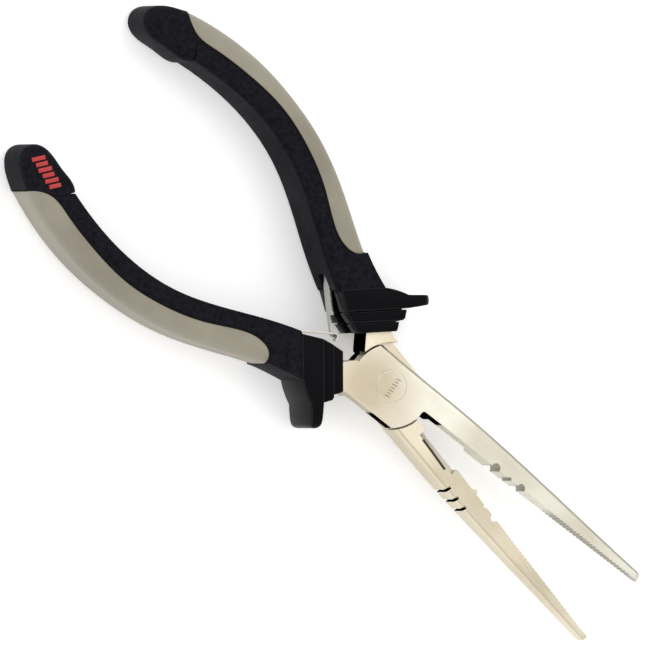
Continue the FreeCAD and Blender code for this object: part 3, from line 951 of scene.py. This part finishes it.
@dataclass
class SpringSet:
    """Leaf spring and its rivet on one half."""

    side: Side
    shop: Workshop

    def build(self) -> None:
        """Finish the spring strip and its rivet."""
        leaf = frame["nodes"][self.side.node("leaf_spring")]
        self.shop.coat(leaf, SatinNickel("spring_strip", bright=(0.48, 0.46, 0.42),
                                         warm=(0.34, 0.32, 0.29), low_rough=0.2,
                                         high_rough=0.3))
        rivet = frame["nodes"][self.side.node("spring_rivet")]
        centre = Vector(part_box(rivet.name)[0]).lerp(Vector(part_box(rivet.name)[1]), 0.5)
        self.shop.coat(rivet, TurnedSteel(f"{self.side.value}_small_rivet", centre))


@dataclass
class Marks:
    """Generic marks: slanted red bars on the front cap and an etched tally on the joint."""

    shop: Workshop
    print_middle: Point = (-114.7, -13.3)
    print_lean: float = -21.0
    bar_lean: float = 49.0
    bar_count: int = 6
    bar_length: float = 3.9
    bar_width: float = 1.15
    bar_pitch: float = 1.75
    ink_height: float = 0.12
    cap_top: float = 9.5
    disc_top: float = 5.0
    tally_start: Point = (0.6, -2.9)
    tally_lean: float = 8.0
    tally_count: int = 7
    tally_length: float = 1.5
    tally_width: float = 0.28
    tally_pitch: float = 0.9
    etch_height: float = 0.02

    def joined(self, bars: list[bpy.types.Object], name: str, finish: object,
               slot: str) -> None:
        """Join the bars into one piece, finish it and let it ride.

        Args:
            bars: the bars.
            name: name of the piece.
            finish: its finish.
            slot: the material slot of the face that it lies on; not used.
        """
        Bench.hold(bars[0])
        for piece in bars[1:]:
            piece.select_set(True)
        bpy.ops.object.join()
        piece = bpy.context.active_object
        piece.name = name
        Bench.settle(piece)
        self.shop.coat(piece, finish)
        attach(piece, Side.FRONT.body)
        self.shop.report(piece, Side.FRONT.body)

    def build(self) -> None:
        """Make both marks."""
        half = HalfFrame(Side.FRONT)
        middle = Vector(self.print_middle)
        lean = math.radians(self.print_lean)
        along = Vector((math.cos(lean), math.sin(lean)))
        bars = []
        for i in range(self.bar_count):
            spot = middle + along * (i - (self.bar_count - 1) / 2) * self.bar_pitch
            size = (self.bar_length - 0.5 * (i % 2), self.bar_width, self.ink_height)
            bars.append(Bench.bar(f"cap_bar_{i}", half.point(*spot, self.cap_top), size,
                                  half.swing + self.bar_lean))
        self.joined(bars, "cap_red_bars", PrintedRed("cap_print"), "cap_black")
        strokes = []
        for i in range(self.tally_count):
            size = (self.tally_length - 0.4 * (i % 2), self.tally_width, self.etch_height)
            spot = half.point(self.tally_start[0], self.tally_start[1] + i * self.tally_pitch,
                              self.disc_top)
            strokes.append(Bench.bar(f"tally_{i}", spot, size, half.swing + self.tally_lean))
        self.joined(strokes, "joint_etched_tally", DarkEtchAndShadow("joint_etch"), "jaw_steel")


@dataclass
class CutterShadowLine:
    """A painted shadow: a thin dark bar at the upper edge of the cutter's ground face, on the
    back jaw.
    """

    shop: Workshop
    middle: tuple[float, float, float] = (22.1, 2.65, -4.88)
    size: tuple[float, float, float] = (10.4, 0.7, 0.14)
    lean: float = -2.2
    fall: float = 1.7

    def build(self) -> None:
        """Lay the line on the jaw's broad face."""
        half = HalfFrame(Side.BACK)
        # A dark bar where there is only shade: painted shadow.
        shadow_line = Bench.bar("back_cutter_shadow_line", half.point(*self.middle), self.size,
                         self.lean - half.swing, self.fall)
        self.shop.coat(shadow_line, DarkEtchAndShadow("slit_shadow", dark=(0.035, 0.027, 0.015),
                                        light=(0.08, 0.065, 0.042)))
        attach(shadow_line, Side.BACK.body)
        self.shop.report(shadow_line, Side.BACK.body)


@dataclass
class PivotRivet:
    """The flush rivet at the joint."""

    shop: Workshop

    def build(self) -> None:
        """Plate the rivet like the front half, whose face it is ground flush with."""
        rivet = frame["nodes"]["pivot_rivet"]
        self.shop.coat(rivet, SteelHalf(Side.FRONT, self.shop).finish())


# ------------------------------------------------------------------------------ studio
@dataclass(frozen=True)
class SoftBox:
    """A soft rectangular light: its place from the tool along right, up and toward, in metres."""

    name: str
    offset: tuple[float, float, float]
    size: tuple[float, float]
    power: float
    tint: Colour = (1.0, 1.0, 1.0)


@dataclass
class Studio:
    """Pale floor, soft lights and the camera, which looks along its own three directions."""

    right: Vector = field(default_factory=lambda: Vector((0.6889, 0.6476, 0.3256)))
    up: Vector = field(default_factory=lambda: Vector((-0.6849, 0.7286, 0.0)))
    toward: Vector = field(default_factory=lambda: Vector((-0.2372, -0.2230, 0.9455)))
    target: Vector = field(default_factory=lambda: Vector((0.0, 0.0, 0.0)))
    joint_aside: float = 16.52
    joint_below: float = 16.66
    view_width: float = 176.3
    distance: float = 8.0
    sensor: float = 36.0
    floor_size: float = 6.0
    floor_gap: float = 0.2
    room_tone: float = 0.93
    room_light: float = 1.06
    boxes: tuple[SoftBox, ...] = (
        SoftBox("overhead_box", (0.80, 0.50, 1.00), (1.0, 1.0), 3.6, (1.0, 0.99, 0.97)),
        SoftBox("key_box", (-0.70, 0.90, 1.00), (0.9, 0.9), 2.6),
        SoftBox("low_fill", (-0.20, -1.00, 0.60), (1.2, 0.5), 1.4),
    )

    def aim(self) -> None:
        """Point the camera so that the joint stands right of and below the middle."""
        aside = self.right * self.joint_aside * MM
        self.target = pivot() - aside + self.up * self.joint_below * MM

    def camera(self) -> None:
        """Make the camera."""
        data = bpy.data.cameras.new("view_camera")
        data.sensor_width = self.sensor
        data.lens = self.sensor * self.distance / (self.view_width * MM)
        data.clip_start = 0.05
        data.clip_end = 20.0
        camera = bpy.data.objects.new("view_camera", data)
        bpy.context.scene.collection.objects.link(camera)
        turn = Matrix((self.right, self.up, self.toward)).transposed().to_4x4()
        camera.matrix_world = Matrix.Translation(self.target + self.toward * self.distance) @ turn
        bpy.context.scene.camera = camera

    def lamp(self, box: SoftBox) -> None:
        """Hang a soft light that faces the tool.

        Args:
            box: the light.
        """
        data = bpy.data.lights.new(box.name, "AREA")
        data.shape = "RECTANGLE"
        data.size, data.size_y = box.size
        data.energy = box.power
        data.color = box.tint
        lamp = bpy.data.objects.new(box.name, data)
        bpy.context.scene.collection.objects.link(lamp)
        aside, above, near = box.offset
        where = self.target + self.right * aside + self.up * above + self.toward * near
        lamp.location = where
        lamp.rotation_euler = (where - self.target).to_track_quat("Z", "Y").to_euler()

    def floor(self, shop: Workshop) -> None:
        """Lay the floor under the tool.

        Args:
            shop: the workshop that paints it.
        """
        bpy.ops.object.select_all(action="DESELECT")
        bpy.ops.mesh.primitive_plane_add(size=self.floor_size,
                                         location=(0, 0, -self.floor_gap * MM))
        floor = bpy.context.active_object
        floor.name = "pale_floor"
        Bench.edit(floor, lambda: bpy.ops.mesh.subdivide(number_cuts=4))
        Bench.settle(floor)
        shop.coat(floor, PaleFloor("pale_floor_paint"))

    def world(self) -> None:
        """A pale even surround."""
        world = bpy.data.worlds.new("pale_room")
        world.use_nodes = True
        background = world.node_tree.nodes["Background"]
        background.inputs["Color"].default_value = (*[self.room_tone] * 3, 1.0)
        background.inputs["Strength"].default_value = self.room_light
        bpy.context.scene.world = world

    def build(self, shop: Workshop) -> None:
        """Set up the whole studio.

        Args:
            shop: the workshop that paints the floor.
        """
        self.aim()
        self.world()
        self.floor(shop)
        for box in self.boxes:
            self.lamp(box)
        self.camera()
        bpy.context.scene.view_settings.view_transform = "Standard"


def main() -> None:
    """Build every sub-assembly in order."""
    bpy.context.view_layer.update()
    shop = Workshop()
    for side in Side:
        SteelHalf(side, shop).build()
        Mouldings(side, shop).build()
        InsertSeam(side, shop).build()
        SpringSet(side, shop).build()
    CutterShadowLine(shop).build()
    PivotRivet(shop).build()
    Marks(shop).build()
    Studio().build(shop)


if __name__ == "__main__":
    main()
